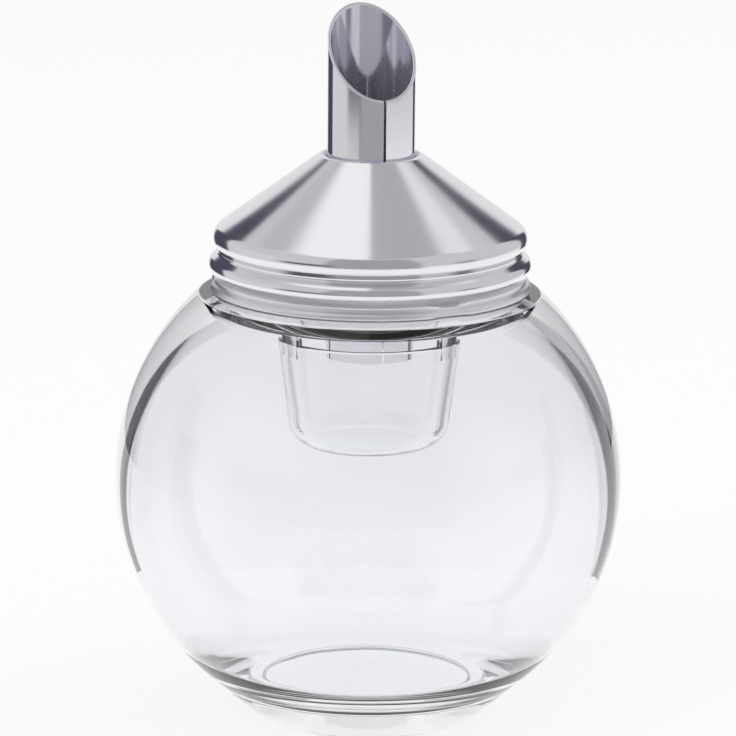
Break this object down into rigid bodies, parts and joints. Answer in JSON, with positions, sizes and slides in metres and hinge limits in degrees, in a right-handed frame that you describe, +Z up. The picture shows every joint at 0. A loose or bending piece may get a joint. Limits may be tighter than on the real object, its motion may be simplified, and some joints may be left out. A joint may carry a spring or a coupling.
{
  "type": "sugar dispenser",
  "caption": "Clear glass globe jar with a twist-on polished steel cone lid, a slanted pouring tube and a dosing cup hung in the jar's mouth.",
  "frame": {"origin": "centre of the jar's foot, on the plane it stands on", "axes": "+Z up the jar's axis to the spout, -Y towards the front that the picture shows, +X to the picture's right"},
  "size_m": [0.09, 0.09, 0.1259],
  "materials": {
    "jar_glass": "clear polished pressed glass",
    "lid_steel": "polished stainless steel sheet",
    "tube_steel": "bright rolled stainless steel strip",
    "gasket_silicone": "soft translucent white",
    "insert_plastic": "clear moulded, glossy"
  },
  "bodies": {
    "jar": {"glass_jar": "jar_glass"},
    "insert": {"dosing_plate": "insert_plastic", "dosing_cup": "insert_plastic"},
    "lid": {"lid_shell": "lid_steel", "pouring_tube": "tube_steel", "lid_gasket": "gasket_silicone"}
  },
  "joints": [
    {"name": "lid_lift", "type": "slide", "parent": "jar", "child": "insert", "axis": [0, 0, 1], "range_m": [0, 0.04]},
    {"name": "lid_turn", "type": "hinge", "parent": "insert", "child": "lid", "pos_m": [0, 0, 0.0845], "axis": [0, 0, 1], "range_deg": [0, 1000]}
  ],
  "couplings": [
    {"joint": "lid_lift", "follows": "lid_turn", "m_per_rad": 0.0022918}
  ]
}
